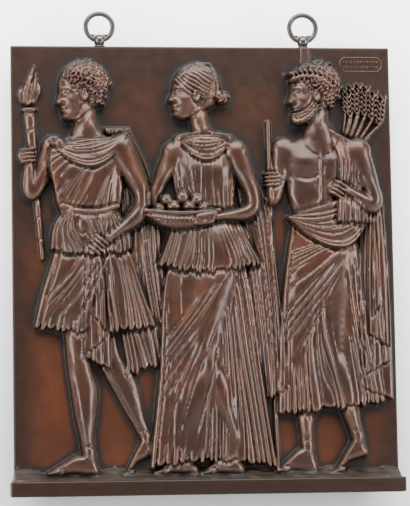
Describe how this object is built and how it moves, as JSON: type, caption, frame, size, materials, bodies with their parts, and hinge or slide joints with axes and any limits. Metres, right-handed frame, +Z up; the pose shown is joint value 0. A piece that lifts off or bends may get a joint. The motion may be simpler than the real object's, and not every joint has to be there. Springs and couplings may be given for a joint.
{
  "type": "relief plaque",
  "caption": "Cast bronze wall plaque with draped figures in relief, a plain ledge along its foot and hanging rings in eye studs on its top edge.",
  "frame": {"origin": "centre of the slab's flat back, level with half the height of slab and ledge, in the plane that lies on the wall", "axes": "+Z up towards the rings, the carved face looks towards -Y, +X to the right of a person who faces the carving, +Y into the wall"},
  "size_m": [0.34, 0.0293, 0.4214],
  "materials": {
    "bronze": "cast bronze with a red-brown patina, glossy on the worn high places, near black in the hollows, green-black on heads and rough ground",
    "stud_bronze": "dark brown patinated bronze, rubbed bright on the ball",
    "ring_bronze": "olive-brown bronze wire, satin, darker on the inside"
  },
  "bodies": {
    "plaque": {"plaque": "bronze", "eye_stud_left": "stud_bronze", "eye_stud_right": "stud_bronze"},
    "ring_left": {"ring_left": "ring_bronze"},
    "ring_right": {"ring_right": "ring_bronze"}
  },
  "joints": [
    {"name": "ring_left_swing", "type": "hinge", "parent": "plaque", "child": "ring_left", "pos_m": [-0.089, -0.0055, 0.2006], "axis": [1, 0, 0], "range_deg": [-110, 110]},
    {"name": "ring_right_swing", "type": "hinge", "parent": "plaque", "child": "ring_right", "pos_m": [0.0906, -0.0055, 0.2006], "axis": [1, 0, 0], "range_deg": [-110, 110]}
  ]
}
